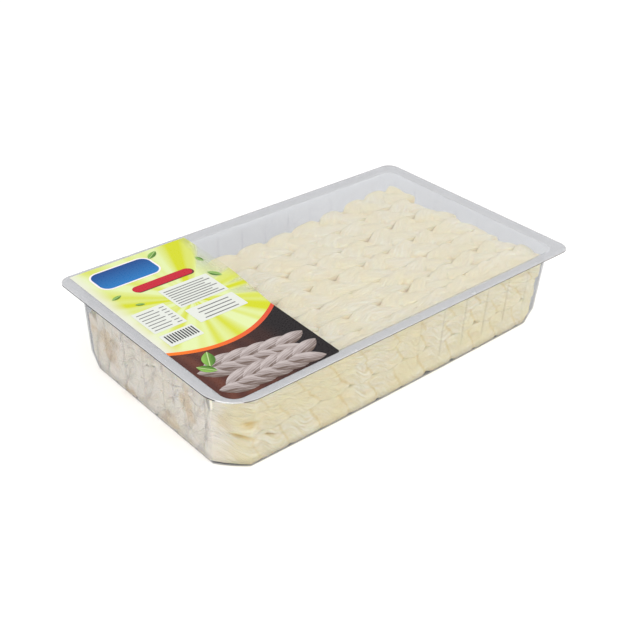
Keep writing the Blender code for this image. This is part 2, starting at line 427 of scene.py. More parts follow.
def clear_plastic(name, tint, sheen, roughness, veil, ripple, depth):
    """Clear sheet: mostly see-through, with more sheen and veil where it is seen at a slant."""
    material, tree, surface = new_material(name)
    flutes = placed(tree, flute_shade_lines)
    # Painted shade: the tint darkens along the flutes' crests and in a band at the base of the walls.
    shaded_tint = tuple(share * LINE_SHADE for share in tint)
    lined = mix_colours(tree, flutes.outputs["Line"], tint, shaded_tint)
    seen = new_node(tree, "ShaderNodeLightPath").outputs["Is Camera Ray"]
    shade = mix_colours(tree, seen, (1.0, 1.0, 1.0), lined)
    through = new_node(tree, "ShaderNodeBsdfTransparent", Color=shade)
    texture = placed(tree, drawn_sheet, Ripple_size=ripple, Rub_size=RUB_SIZE)
    haze = texture.outputs["Haze"]
    gloss = new_node(
        tree,
        "ShaderNodeBsdfPrincipled",
        Base_Color=sheen,
        Metallic=0.45,
        Specular_IOR_Level=0.3,
        Roughness=mapped(tree, haze, 0.0, 1.0, roughness, roughness + RUB_ROUGHNESS),
        Normal=relief(tree, texture.outputs["Height"], RIPPLE_STRENGTH, depth),
    )
    facing = new_node(tree, "ShaderNodeLayerWeight", Blend=0.5).outputs["Facing"]
    slant = arithmetic(tree, "POWER", facing, SLANT_POWER)
    mix_shaders(tree, mapped(tree, slant, 0.0, 1.0, *veil), through, gloss, surface)
    return material


# Each finish has its tint, its sheen, its roughness, its veil when faced and at a slant, and
# the size and the depth of its ripples.
tray_plastic = clear_plastic(
    "tray_plastic", (0.80, 0.805, 0.815), (0.52, 0.525, 0.54), 0.09, (0.03, 0.28), 26.0, 0.6 * MM
)
flat_rim = clear_plastic(
    "tray_flat_rim", (0.72, 0.725, 0.735), (0.80, 0.80, 0.805), 0.20, (0.64, 0.74), 40.0, 0.3 * MM
)
welded_rim = clear_plastic(
    "tray_welded_rim", (0.70, 0.70, 0.71), (0.83, 0.83, 0.835), 0.24, (0.66, 0.76), 40.0, 0.3 * MM
)
# The cut edges are painted dark as shade, nearly black at the peel end.
cut_edge_shade = clear_plastic(
    "tray_cut_edge_shade", (0.34, 0.33, 0.32), (0.17, 0.165, 0.16), 0.5, (0.6, 0.85), 40.0, 0.2 * MM
)
peel_edge_shade = clear_plastic(
    "tray_peel_edge_shade", (0.10, 0.10, 0.11), (0.05, 0.05, 0.06), 0.3, (0.6, 0.85), 40.0, 0.2 * MM
)

# The cut edge takes the finish two before that of the rim beside it. The weld is listed
# twice, so that the cut edge's painted shade can be darker at the peel end than along the other sides.
TRAY_FINISHES = (tray_plastic, cut_edge_shade, peel_edge_shade, welded_rim, welded_rim, flat_rim)
CUT_EDGE_STEP = -2
WELD, PEEL_WELD, FLAT = 3, 4, 5
WELD_WIDTH = RIM_BORDER * WELD_SHARE
RIM_MARGIN = 0.2 * MM
SHARP_BEND = math.radians(50)

tray_mesh = ring_mesh("tray_sheet", tray_skin())
for finish in TRAY_FINISHES:
    tray_mesh.materials.append(finish)
for face in tray_mesh.polygons:
    if face.center.z > RIM_UNDERSIDE - RIM_MARGIN:
        from_end = RIM_LENGTH / 2 - abs(face.center.x)
        from_side = RIM_WIDTH / 2 - abs(face.center.y)
        if min(from_end, from_side) >= WELD_WIDTH:
            face.material_index = FLAT
        else:
            face.material_index = PEEL_WELD if face.center.x < 0 and from_end < WELD_WIDTH else WELD
tray_mesh.shade_smooth()
tray_mesh.set_sharp_from_angle(angle=SHARP_BEND)
tray_sheet = link_piece("tray_sheet", tray_mesh)
tray_thickness = tray_sheet.modifiers.new("sheet_thickness", "SOLIDIFY")
tray_thickness.thickness = SHEET
tray_thickness.offset = 1.0
tray_thickness.material_offset_rim = CUT_EDGE_STEP
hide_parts("tray")


# ---------------------------------------------------------------------------
# Cheese ropes: warm curd is stretched into long strands, three strands are plaited, and the
# soft ropes are pressed into the tray in three layers of seven, so that the strands of a rope
# close up against each other. The small pockets and creases between the strands are painted
# with an ochre shade.

CHEESE_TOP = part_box("rope_top_4")[1][2]
LAYERS = ("low", "mid", "top")
ROPES_ACROSS = 7
STRANDS = 3

# The plait, layer by layer: its pitch, and its strands' rise and half sizes in a rope's cell.
LAYER_PITCH = (77 * MM, 77 * MM, 86 * MM)
LAYER_RISE = (0.46, 0.46, 0.38)
LAYER_WIDE = (0.57, 0.57, 0.62)
LAYER_TALL = (0.93, 0.93, 0.76)
SIDE_TALL = 0.93
SWAY = 0.50
PHASE_SPREAD = 0.4

# How a strand strays along the rope: the lengths of its waves and their size.
TURN_STRAY = ((61 * MM, 97 * MM), 0.16)
ACROSS_STRAY = ((47 * MM, 71 * MM), 0.04)
UP_STRAY = ((43 * MM, 67 * MM), 0.04)
SWELL_STRAY = ((23 * MM, 41 * MM, 67 * MM), 0.05)
FOLD_STRAY = ((48 * MM, 73 * MM), 0.5)

# Folds round a strand, as counts and depths, and how softly the strands meet.
FOLDS = ((3, 0.030), (5, 0.028), (9, 0.020), (14, 0.016), (22, 0.013))
FOLD_LENGTH = 17 * MM
STRAND_MEETING = 0.02
CREASE_WIDTH = 0.11

# The seams between the ropes wander a little in the low layers, and in the top one they lean
# to the back towards the right. Ropes and layers sink into each other between the strands.
TOP_SEAMS = (-71 * MM, -52 * MM, -32 * MM, -7 * MM, 18 * MM, 41 * MM, 68 * MM)
TOP_LEAN = 11 * MM
TOP_LEAN_LENGTH = 145 * MM
LOW_WANDER = 1.2 * MM
LOW_WANDER_LENGTH = 170 * MM
LOBE_SWELL = 0.8 * MM
LAYER_SWELL = 0.5 * MM
LAYER_SINK = 0.5 * MM
LAYER_OVERLAP = 0.4 * MM

# How hard the ropes are pressed, and how far they fill their cells' corners.
LAYER_PRESS = (1.10, 1.10, 1.14)
CORNER_FILL = 0.50
TOP_FILL = 0.34
BASE_FILL = 0.66
BASE_PRESS = 0.25
SEAM_PRESS = 1.06
SOFT_START = 0.68
END_FILL = 0.92
FOOT_FILL = 0.55
SIDE_FILL = 0.30
SQUARENESS = 7
WALL_CONTACT = 0.05 * MM

# How finely a rope is drawn: its step along, and its points round.
NEAR_GRID = (1.5 * MM, 112)
BASE_GRID = (2.6 * MM, 60)
HIDDEN_GRID = (4.5 * MM, 32)
CAP_RINGS = 12

# The ropes' ends: flat against the left wall, and rounded a few millimetres from the right
# one. The uneven lengths are in millimetres.
LEFT_CAP = 3.6 * MM
LEFT_PRESS = 2.8 * MM
RIGHT_CAP = 5.0 * MM
SIDE_REACH = 3.5 * MM
ROPE_UNEVEN = (-1.8, 0.4)
LEFT_UNEVEN = (-1.2, 0.8)
RIGHT_UNEVEN = (-1.5, 0.0)
CAP_FIBRES = 8 * MM
LEFT_SPREAD = 0.30
LEFT_SPREAD_LENGTH = 7 * MM
END_LEAN = 0.30
END_TILT = 2.6 * MM
END_TILT_LENGTH = 29 * MM
END_LENGTH = 16 * MM

# Small hollows left open on the front wall, painted with the pockets' shade: x, z, length, height and slope
# of each.
PITS = (
    (-133.5 * MM, 33 * MM, 4.2 * MM, 3.2 * MM, 0.0),
    (-138 * MM, 23.5 * MM, 6.5 * MM, 1.4 * MM, -0.42),
    (-119 * MM, 18.6 * MM, 5.0 * MM, 1.1 * MM, -0.6),
)
PIT_DEPTH = 3.4 * MM

# Painted ochre shade fills the pockets from a little behind an open face, and more in a crease.
POCKET_START = 0.9 * MM
POCKET_DEPTH = 4.2 * MM
POCKET_SHARE = 0.6
CREASE_SHARE = 0.62
TOP_CREASE_FADE = 0.65
LEFT_POCKET_FADE = 0.9


def room(z):
    """Half length and half width of the room inside the tray at a height."""
    share = np.clip((z - FACET_HEIGHT) / (SHOULDER - FACET_HEIGHT), 0, 1)
    length = WALL_LOW_LENGTH + (WALL_TOP_LENGTH - WALL_LOW_LENGTH) * share
    width = WALL_LOW_WIDTH + (WALL_TOP_WIDTH - WALL_LOW_WIDTH) * share
    inwards = SHEET + WALL_CONTACT + np.maximum(0.0, BASE_EDGE - z)
    return length / 2 - inwards, width / 2 - inwards


def inner_side(x, z, y_sign):
    """The y of the tray's inner surface on one long side, with its corner facets."""
    half_length, half_width = room(z)
    reach = WALL_CORNER + (FACET_REACH - WALL_CORNER) * np.maximum(0.0, 1 - z / FACET_HEIGHT)
    if y_sign < 0:
        up = np.clip((z - FACET_HEIGHT) / (SHOULDER - FACET_HEIGHT), 0, 1)
        reach = np.where(x < 0, PEEL_BASE_CORNER + (PEEL_WALL_CORNER - PEEL_BASE_CORNER) * up, reach)
    into_corner = np.maximum(0.0, reach - (half_length - np.abs(x)))
    return y_sign * (half_width + wall_bow(x, z) - into_corner)


def phase_at(layer, index, x):
    """The plait's phase at a place along a rope; each rope starts a little differently."""
    shift = random.Random(f"phase {layer} {index}").uniform(-PHASE_SPREAD, PHASE_SPREAD)
    return 2 * math.pi * x / LAYER_PITCH[layer] + shift


def near_left(x):
    """1 at the left wall, falling off along the ropes."""
    return np.exp((-room(0.0)[0] - x) / END_LENGTH)


def seam(layer, index, x, z):
    """The y of the seam in front of a rope; the first and the last seams are the walls."""
    front = inner_side(x, z, -1)
    back = inner_side(x, z, 1)
    if index == 0:
        return front
    if LAYERS[layer] == "top":
        lean = np.clip(x / TOP_LEAN_LENGTH, 0, 1)
        y = TOP_SEAMS[index - 1] + TOP_LEAN * lean * lean * (3 - 2 * lean)
        if index == ROPES_ACROSS:
            return np.clip(y, front, back)
    elif index == ROPES_ACROSS:
        return back
    else:
        turn = 2 * math.pi * x / LOW_WANDER_LENGTH + math.pi * layer
        y = room(RIM_TOP / 2)[1] * (2 * index / ROPES_ACROSS - 1) + LOW_WANDER * np.sin(turn)
    phase = (phase_at(layer, index - 1, x) + phase_at(layer, index, x)) / 2
    lean = END_LEAN * (z - RIM_TOP / 2) * near_left(x)
    return np.clip(y - LOBE_SWELL * np.sin(STRANDS * phase) - lean, front, back)


def layer_bounds(layer, index, x):
    """The heights between which a rope lies; layers sink into each other between the strands."""
    bounds = []
    for level in (layer, layer + 1):
        if level == 0:
            bounds.append(np.full_like(x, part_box("rope_low_1")[0][2]))
        elif level == len(LAYERS):
            bounds.append(np.full_like(x, CHEESE_TOP))
        else:
            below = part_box(f"rope_{LAYERS[level - 1]}_{index + 1}")[1][2]
            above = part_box(f"rope_{LAYERS[level]}_{index + 1}")[0][2]
            wave = LAYER_SWELL * np.cos(STRANDS * phase_at(level - 1, index, x) + math.pi / 4)
            bounds.append((below + above) / 2 + wave + (-LAYER_SINK if level == layer else LAYER_SINK))
    return bounds


def soft_limit(value):
    """Squash a place in a cell softly towards its walls at -1 and 1."""
    size = np.abs(value)
    room_left = 1 - SOFT_START
    squashed = SOFT_START + room_left * np.tanh((size - SOFT_START) / room_left)
    return np.sign(value) * np.where(size < SOFT_START, size, squashed)


def wander(draws, x, lengths, size):
    """A smooth uneven line: a few waves of the given lengths with drawn starts."""
    total = np.zeros_like(x)
    for length in lengths:
        total += np.sin(2 * math.pi * x / length + draws.uniform(0, 2 * math.pi))
    return size * total / math.sqrt(len(lengths))


def smooth_rise(value, start, end):
    """0 before start, 1 after end, and a smooth rise between them."""
    share = np.clip((value - start) / (end - start), 0, 1)
    return share * share * (3 - 2 * share)


def strand_line(layer, index, strand, x):
    """A strand's middle in its rope's cell, across and up from -1 to 1, and its half sizes."""
    draws = random.Random(f"strand {layer} {index} {strand}")
    turn = phase_at(layer, index, x) + wander(draws, x, *TURN_STRAY)
    turn = turn + 2 * math.pi * strand / STRANDS
    across = SWAY * np.sin(turn) + wander(draws, x, *ACROSS_STRAY)
    up = LAYER_RISE[layer] * np.sin(2 * turn) + wander(draws, x, *UP_STRAY)
    swell = 1 + wander(draws, x, *SWELL_STRAY)
    swell = swell + LEFT_SPREAD * np.exp((-room(0.0)[0] - x) / LEFT_SPREAD_LENGTH)
    tall = SIDE_TALL if index == 0 else LAYER_TALL[layer]
    return across, up, LAYER_WIDE[layer] * swell, tall * swell


def strand_folds(layer, index, strand, x, around):
    """Shallow folds that run along a strand, as a share of its size."""
    draws = random.Random(f"folds {layer} {index} {strand}")
    folds = np.zeros_like(around)
    for count, depth in FOLDS:
        drift = wander(draws, x, *FOLD_STRAY)[:, None]
        strength = 0.5 + 0.5 * np.sin(x / FOLD_LENGTH + draws.uniform(0, 6))[:, None]
        folds -= depth * strength * (1 - np.abs(np.sin(count * around / 2 + drift)) ** 0.6)
    return folds


def strand_reach(layer, index, strand, x, bearing):
    """How far a strand's skin lies from its rope's middle on each bearing, and where round it."""
    across, up, wide, tall = (value[:, None] for value in strand_line(layer, index, strand, x))
    beside, over = np.cos(bearing), np.sin(bearing)
    square = (beside / wide) ** 2 + (over / tall) ** 2
    lean = across * beside / wide**2 + up * over / tall**2
    rest = (across / wide) ** 2 + (up / tall) ** 2 - 1
    reach = (lean + np.sqrt(np.maximum(lean * lean - square * rest, 0.0))) / square
    around = np.arctan2((reach * over - up) / tall, (reach * beside - across) / wide)
    around = bearing + (around - bearing + math.pi) % (2 * math.pi) - math.pi
    return reach * (1 + strand_folds(layer, index, strand, x, around)), around


def end_dome(layer, index, strand, x, beside, over):
    """How far a strand's rounded end stands out over a place in its rope's cell, from 0 to 1."""
    across, up, wide, tall = (value[:, None] for value in strand_line(layer, index, strand, x))
    out = ((beside - across) / wide) ** 2 + ((over - up) / tall) ** 2
    return np.sqrt(np.maximum(1 - out, 0.0))


def rope_section(layer, index, x, bearing):
    """A rope's outline on each bearing, its creases, places round its strands and outer strands."""
    both = [strand_reach(layer, index, strand, x, bearing) for strand in range(STRANDS)]
    reaches = np.stack([reach for reach, _ in both])
    arounds = np.stack([around for _, around in both])
    furthest = reaches.max(axis=0)
    spread = np.exp((reaches - furthest) / STRAND_MEETING).sum(axis=0)
    reach = furthest + STRAND_MEETING * np.log(spread)
    crease = 1 - smooth_rise(furthest - np.sort(reaches, axis=0)[-2], 0.0, CREASE_WIDTH)
    return reach, crease, arounds, reaches.argmax(axis=0)


def pressed(layer, index, x, bearing, scale, beside, over):
    """Press a rope's section softly into its cell, squarer at the left wall, base and front."""
    on_base = smooth_rise(-over, 0.1, 0.8) if LAYERS[layer] == "low" else 0.0
    on_top = smooth_rise(over, 0.1, 0.6) if LAYERS[layer] == "top" else 0.0
    fill = CORNER_FILL + (BASE_FILL - CORNER_FILL) * on_base + (TOP_FILL - CORNER_FILL) * on_top
    press = LAYER_PRESS[layer] * (1 + fill * np.sin(2 * bearing) ** 2)
    beside = soft_limit(press * beside)
    over = soft_limit((press + BASE_PRESS * on_base) * over)
    across, up = np.cos(bearing), np.sin(bearing)
    square = (np.abs(across) ** SQUARENESS + np.abs(up) ** SQUARENESS) ** (-1 / SQUARENESS)
    filled = np.maximum(END_FILL * near_left(x), FOOT_FILL * on_base)
    if index == 0:
        filled = np.maximum(filled, SIDE_FILL * (1 - on_top))
    beside = beside + filled * (square * scale * across - beside)
    over = over + filled * (square * scale * up - over)
    return beside, over, on_top


def in_tray(layer, index, x, px, beside, over):
    """A pressed section's places in the tray, between its seams and its layer's bounds."""
    floor_z, top_z = layer_bounds(layer, index, x)
    pz = ((floor_z + top_z) / 2)[:, None] + ((top_z - floor_z) / 2 + LAYER_OVERLAP)[:, None] * over
    near_front = seam(layer, index, px, pz)
    near_back = seam(layer, index + 1, px, pz)
    inner_seam = (index > 0) & (beside < 0) | (index < ROPES_ACROSS - 1) & (beside > 0)
    beside = beside * np.where(inner_seam, SEAM_PRESS, 1.0)
    cell_half = np.maximum((near_back - near_front) / 2, 1 * MM)
    py = (near_front + near_back) / 2 + cell_half * beside
    height_share = pz / CHEESE_TOP
    tilt = np.sin(2 * math.pi * py / END_TILT_LENGTH) * near_left(px)
    pz = pz - END_TILT * 4 * height_share * (1 - height_share) * tilt
    pit = front_pits(px, pz) if index == 0 else np.zeros_like(px)
    py = py + PIT_DEPTH * pit * smooth_rise(-beside, 0.4, 0.9)
    wall = room(pz)[0]
    return np.stack((np.clip(px, -wall, wall), py, pz), axis=-1), pit


def rope_skin(layer, index, node_box):
    """A rope's skin as rings of points, with its fibre places, outer strands and painted shade mask."""
    draws = random.Random(f"rope {layer} {index}")
    at_side = index in (0, ROPES_ACROSS - 1)
    if LAYERS[layer] == "top" or at_side:
        step, sides = NEAR_GRID
    else:
        step, sides = BASE_GRID if LAYERS[layer] == "low" else HIDDEN_GRID
    low, high = node_box
    start = -room(low[2])[0] - LEFT_PRESS
    end = high[0] + draws.uniform(*ROPE_UNEVEN) * MM + (SIDE_REACH if at_side else 0.0)
    middle = np.linspace(start + LEFT_CAP, end - RIGHT_CAP, int((end - start) / step))
    opening = np.sin(np.linspace(0.05, 1.5, CAP_RINGS))
    x = np.concatenate((np.full(CAP_RINGS, middle[0]), middle, np.full(CAP_RINGS, middle[-1])))
    scale = np.concatenate((opening, np.ones(len(middle)), opening[::-1]))[:, None]
    bearing = np.linspace(0, 2 * math.pi, sides, endpoint=False)[None, :]
    reach, crease, arounds, outer = rope_section(layer, index, x, bearing)
    beside = reach * scale * np.cos(bearing)
    over = reach * scale * np.sin(bearing)

    domes = [end_dome(layer, index, strand, x, beside, over) for strand in range(STRANDS)]
    left = np.maximum.reduce([dome * (LEFT_CAP + draws.uniform(*LEFT_UNEVEN) * MM) for dome in domes])
    right = np.maximum.reduce([dome * (RIGHT_CAP + draws.uniform(*RIGHT_UNEVEN) * MM) for dome in domes])
    rings = np.arange(len(x))[:, None]
    px = x[:, None] - np.where(rings < CAP_RINGS, left, 0.0)
    px = px + np.where(rings >= len(x) - CAP_RINGS, right, 0.0)

    beside, over, on_top = pressed(layer, index, px, bearing, scale, beside, over)
    points, pit = in_tray(layer, index, x, px, beside, over)
    # Painted shade in the pockets: deeper behind an open face, stronger in a crease, fading on top and at the
    # left wall.
    depth = smooth_rise(recess(layer, points, end), POCKET_START, POCKET_DEPTH)
    crease = crease * (1 - TOP_CREASE_FADE * on_top)
    pocket_shade = np.maximum(CREASE_SHARE * crease, depth * (POCKET_SHARE + (1 - POCKET_SHARE) * crease))
    pocket_shade = np.maximum(pocket_shade * (1 - LEFT_POCKET_FADE * near_left(px)), pit)
    along = (x[:, None] + CAP_FIBRES * (1 - scale)) / LAYER_PITCH[layer]
    return points, along, arounds, outer, pocket_shade


def front_pits(x, z):
    """Where small hollows stay open between the strands on the front wall, from 0 to 1."""
    pits = np.zeros_like(x)
    for pit_x, pit_z, length, height, slope in PITS:
        away = ((x - pit_x) / length) ** 2 + ((z - pit_z - slope * (x - pit_x)) / height) ** 2
        pits = np.maximum(pits, np.exp(-away))
    return pits


def recess(layer, points, end):
    """How deep a point lies behind the nearest open face: a wall, the base, the film or an end."""
    x, y, z = points[..., 0], points[..., 1], points[..., 2]
    faces = [y - inner_side(x, z, -1), inner_side(x, z, 1) - y, x + room(z)[0], end - x, z - SHEET]
    if LAYERS[layer] == "top":
        faces.append(CHEESE_TOP - z)
    return np.minimum.reduce(faces)


def rope_mesh(name, skin):
    """A rope's skin as one closed mesh, with fibre places on its outer strands and a painted shade mask."""
    points, along, arounds, outer, pocket_shade = skin
    rings, sides = pocket_shade.shape
    row = np.arange(rings - 1)[:, None]
    side = np.arange(sides)[None, :]
    after = (side + 1) % sides
    here, there = row * sides, (row + 1) * sides
    corners = np.stack((here + side, here + after, there + after, there + side), axis=-1)
    faces = corners.reshape(-1, 4).tolist()
    faces.append(list(reversed(range(sides))))
    faces.append([(rings - 1) * sides + number for number in range(sides)])
    turned = np.concatenate((arounds, arounds[..., :1] + 2 * math.pi), axis=-1) / (2 * math.pi)
    strand = outer[:-1]
    fibre = []
    for down, aside in ((0, 0), (0, 1), (1, 1), (1, 0)):
        round_it = turned[strand, row + down, side + aside] + strand
        fibre.append(np.stack((np.broadcast_to(along[row + down, 0], round_it.shape), round_it), axis=-1))
    ends = np.zeros((2 * sides, 2))
    mesh = bpy.data.meshes.new(name)
    mesh.from_pydata(points.reshape(-1, 3).tolist(), [], faces)
    fibre_map = mesh.uv_layers.new(name="fibre")
    places = np.concatenate((np.stack(fibre, axis=2).reshape(-1, 2), ends))
    fibre_map.data.foreach_set("uv", places.astype(np.float32).ravel())
    mask = mesh.attributes.new("pocket_shade", "FLOAT", "POINT")
    mask.data.foreach_set("value", pocket_shade.astype(np.float32).ravel())
    mesh.shade_smooth()
    return mesh


FIBRES_ALONG = 6.0
FIBRES_AROUND = 35.0
FIBRE_RELIEF = 0.55 * MM
SPLIT_WIDTH = 0.045
SPLIT_DEPTH = 0.35
# Towards the left wall the curd turns paler and greyer, partly the cut ends' own colour and partly painted
# haze.
LEFT_END_PAINT = (-141 * MM, -151 * MM)


def mapped_place(tree, name):
    """The place on one of a mesh's own maps."""
    own_map = tree.nodes.new("ShaderNodeUVMap")
    own_map.uv_map = name
    return own_map.outputs["UV"]


def fibre_group():
    """Stretched fibres that run along a strand: streaks, fine splits as lines of painted shade, a tone and a
    height.
    """
    tree, given, result = mask_group(
        "Stretched fibres", ("Fibres along", "Fibres around"), ("Streak", "Line", "Tone", "Height")
    )
    counts = new_node(tree, "ShaderNodeCombineXYZ", X=given["Fibres along"], Y=given["Fibres around"])
    place = vector_step(tree, "MULTIPLY", mapped_place(tree, "fibre"), counts.outputs["Vector"])
    streak = noise(tree, place, 1.0, detail=4.0, roughness=0.6)
    # Fine splits: a thin line mask, painted darker as shade in the curd.
    split = noise(tree, place, 0.9, distortion=0.4)
    away = arithmetic(tree, "ABSOLUTE", arithmetic(tree, "SUBTRACT", split, 0.5))
    line = mapped(tree, away, SPLIT_WIDTH, 0.0)
    tone = noise(tree, object_place(tree), 38.0, detail=3.0)
    height = arithmetic(tree, "MULTIPLY_ADD", line, -SPLIT_DEPTH, streak)
    for socket, mask in (("Streak", streak), ("Line", line), ("Tone", tone), ("Height", height)):
        tree.links.new(mask, result[socket])
    return tree


def cheese_material():
    """Moist pale curd: fibre streaks, splits and pockets in painted ochre shade, uneven cream, and a paler
    left end with painted shadows.
    """
    material, tree, surface = new_material("string_cheese")
    fibres = placed(tree, fibre_group(), Fibres_along=FIBRES_ALONG, Fibres_around=FIBRES_AROUND)
    streak = mapped(tree, fibres.outputs["Streak"], 0.38, 0.62)
    tone = mapped(tree, fibres.outputs["Tone"], 0.40, 0.62)
    # The fine splits are painted darker ochre as shade.
    line = mapped(tree, fibres.outputs["Line"], 0.0, 1.0, 0.0, 0.30)
    pale = mix_colours(tree, streak, (0.89, 0.79, 0.525), (0.98, 0.92, 0.72))
    cream = mix_colours(tree, tone, pale, (0.95, 0.84, 0.53))
    lined = mix_colours(tree, line, cream, (0.74, 0.58, 0.31))
    # Painted ochre shade in the pockets and creases, from the mesh's mask.
    pocket_shade = tree.nodes.new("ShaderNodeAttribute")
    pocket_shade.attribute_name = "pocket_shade"
    depth = mapped(tree, pocket_shade.outputs["Fac"], 0.05, 0.9, 0.0, 0.95)
    shaded_curd = mix_colours(tree, depth, lined, (0.79, 0.60, 0.24))
    place = object_place(tree)
    # Towards the left wall: a paler, greyer curd with brown patches painted as the shadows of gaps between
    # the rope ends.
    at_wall = mapped(tree, axes_of(tree, place)[0], *LEFT_END_PAINT, 0.0, 0.6)
    patches = noise(tree, place, 44.0, detail=3.0)
    gap_shadow = mapped(tree, patches, 0.525, 0.62, 0.0, 0.9)
    pale_end_and_shadows = mix_colours(tree, gap_shadow, (0.95, 0.87, 0.82), (0.72, 0.50, 0.31))
    curd = new_node(
        tree,
        "ShaderNodeBsdfPrincipled",
        Base_Color=mix_colours(tree, at_wall, shaded_curd, pale_end_and_shadows),
        Roughness=mapped(tree, fibres.outputs["Streak"], 0.3, 0.7, 0.36, 0.52),
        Normal=relief(tree, fibres.outputs["Height"], 1.0, FIBRE_RELIEF),
        Subsurface_Weight=0.3,
        Subsurface_Radius=(1.0, 0.72, 0.42),
        Subsurface_Scale=2 * MM,
        IOR=1.42,
    )
    tree.links.new(curd.outputs["BSDF"], surface)
    return material


string_cheese = cheese_material()
for layer, layer_name in enumerate(LAYERS):
    for index in range(ROPES_ACROSS):
        node = f"rope_{layer_name}_{index + 1}"
        name = f"plait_{layer_name}_{index + 1}"
        plait = rope_mesh(name, rope_skin(layer, index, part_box(node)))
        plait.materials.append(string_cheese)
        rope = link_piece(name, plait)
        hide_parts(node)


# ---------------------------------------------------------------------------
# Lid film: a clear film welded to the rim all round and cut just inside the rim's edge. It
# lies flat and tight, and a little moisture under it softens what is seen through it.

FILM = 0.1 * MM
FILM_INSET = 0.5 * MM
FILM_SEAT = 0.05 * MM
FILM_TOP = RIM_TOP + FILM_SEAT + FILM

film_plastic = clear_plastic(
    "film_plastic", (0.92, 0.925, 0.935), (0.72, 0.725, 0.745), 0.12, (0.09, 0.52), 14.0, 0.5 * MM
)
film_ring = outline_ring(
    RIM_LENGTH - 2 * FILM_INSET,
    RIM_WIDTH - 2 * FILM_INSET,
    RIM_TOP + FILM_SEAT,
    (RIM_CORNER - FILM_INSET, ROUND),
    (PEEL_RIM_CORNER - FILM_INSET, ROUND),
)
film_mesh = ring_mesh("lid_film_sheet", [film_ring, film_ring + (0, 0, FILM)], closed_top=True)
film_mesh.materials.append(film_plastic)
lid_film_sheet = link_piece("lid_film_sheet", film_mesh)
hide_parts("lid_film")


# ---------------------------------------------------------------------------
# Print: inks laid on the film over the left third of the lid. A field of lime rays thins out
# to bare film on the right, and below an orange band a dark field shows plaits and a leaf.

INK_BASE = FILM_TOP + 0.03 * MM
INK_STEP = 0.04 * MM
PRINT_LEFT = -157 * MM
PRINT_BACK = 96.2 * MM
PRINT_FRONT = -92.3 * MM
PRINT_CORNER = 11 * MM
PRINT_SPAN = 90 * MM

# The print's right edge, how far it leans in, and where the lean starts and ends.
PRINT_RIGHT = -57.6 * MM
PRINT_LEAN = 10.8 * MM
LEAN_BACK = 60 * MM
LEAN_FRONT = -55 * MM

# The orange band sags: its lowest place, and its rise at a distance to either side.
BAND_LOW = (-116 * MM, -37 * MM)
BAND_RISE = 13 * MM
BAND_REACH = 42 * MM
BAND_WIDTH = 3.6 * MM


def print_right(y):
    """The print's right edge, which leans in towards the front."""
    return PRINT_RIGHT - PRINT_LEAN * smooth_rise(-y, -LEAN_BACK, -LEAN_FRONT)


def band_line(x):
    """The sagging line along which the lime field gives way to the orange band."""
    return BAND_LOW[1] + BAND_RISE * ((x - BAND_LOW[0]) / BAND_REACH) ** 2


def ink_piece(name, shapes, level, material, lift=0.0):
    """Flat ink shapes as one piece; each shape is its outline and its own long and cross axes."""
    bm = bmesh.new()
    layer = bm.loops.layers.uv.new("ink")
    for number, (outline, centre, long_axis, cross_axis) in enumerate(shapes):
        height = INK_BASE + level * INK_STEP + number * lift
        corners = [bm.verts.new((point[0], point[1], height)) for point in outline]
        face = bm.faces.new(corners)
        face.normal_update()
        if face.normal.z < 0:
            face.normal_flip()
        for loop in face.loops:
            away = Vector((loop.vert.co.x - centre[0], loop.vert.co.y - centre[1]))
            loop[layer].uv = (
                away.dot(Vector(long_axis)) / Vector(long_axis).length_squared,
                away.dot(Vector(cross_axis)) / Vector(cross_axis).length_squared,
            )
    bmesh.ops.triangulate(bm, faces=bm.faces)
    mesh = bpy.data.meshes.new(name)
    bm.to_mesh(mesh)
    bm.free()
    mesh.materials.append(material)
    piece = link_piece(name, mesh)
    return piece


def plain_shape(outline):
    """An outline whose ink needs no axes of its own."""
    return outline, (0.0, 0.0), (MM, 0.0), (0.0, MM)


def rounded_outline(left, right, front, back, radius, steps=8):
    """The outline of a rectangle with rounded corners, in mm."""
    points = []
    for start, (x, y) in enumerate(((right, front), (right, back), (left, back), (left, front)), -1):
        middle_x = x - radius if x == right else x + radius
        middle_y = y + radius if y == front else y - radius
        for index in range(steps + 1):
            turn = (start + index / steps) * math.pi / 2
            across = middle_x + radius * math.cos(turn)
            points.append((across * MM, (middle_y + radius * math.sin(turn)) * MM))
    return points


def block(left, right, front, back, radius):
    """A rectangle of ink with rounded corners, in mm."""
    return plain_shape(rounded_outline(left, right, front, back, radius))


def lens_shape(x, y, length, width, turn, point=1.0, steps=14):
    """A lens or leaf outline with pointed ends, in mm and degrees, with its own axes."""
    angle = math.radians(turn)
    long_axis = (math.cos(angle) * length / 2 * MM, math.sin(angle) * length / 2 * MM)
    cross_axis = (-math.sin(angle) * width / 2 * MM, math.cos(angle) * width / 2 * MM)
    outline = []
    for side in (1, -1):
        for index in range(steps):
            share = (1 - 2 * index / steps) * side
            out = (1 - share * share) ** point * side
            across = x * MM + long_axis[0] * share + cross_axis[0] * out
            outline.append((across, y * MM + long_axis[1] * share + cross_axis[1] * out))
    return outline, (x * MM, y * MM), long_axis, cross_axis


def ink_grain_group():
    """The fine uneven grain of ink on film, as a mask."""
    tree, given, result = mask_group("Ink grain", ("Grain size",), ("Grain",))
    tree.links.new(noise(tree, object_place(tree), given["Grain size"]), result["Grain"])
    return tree


ink_grain = ink_grain_group()
GRAIN_SIZE = 900.0
SPECK_COVER = 0.03


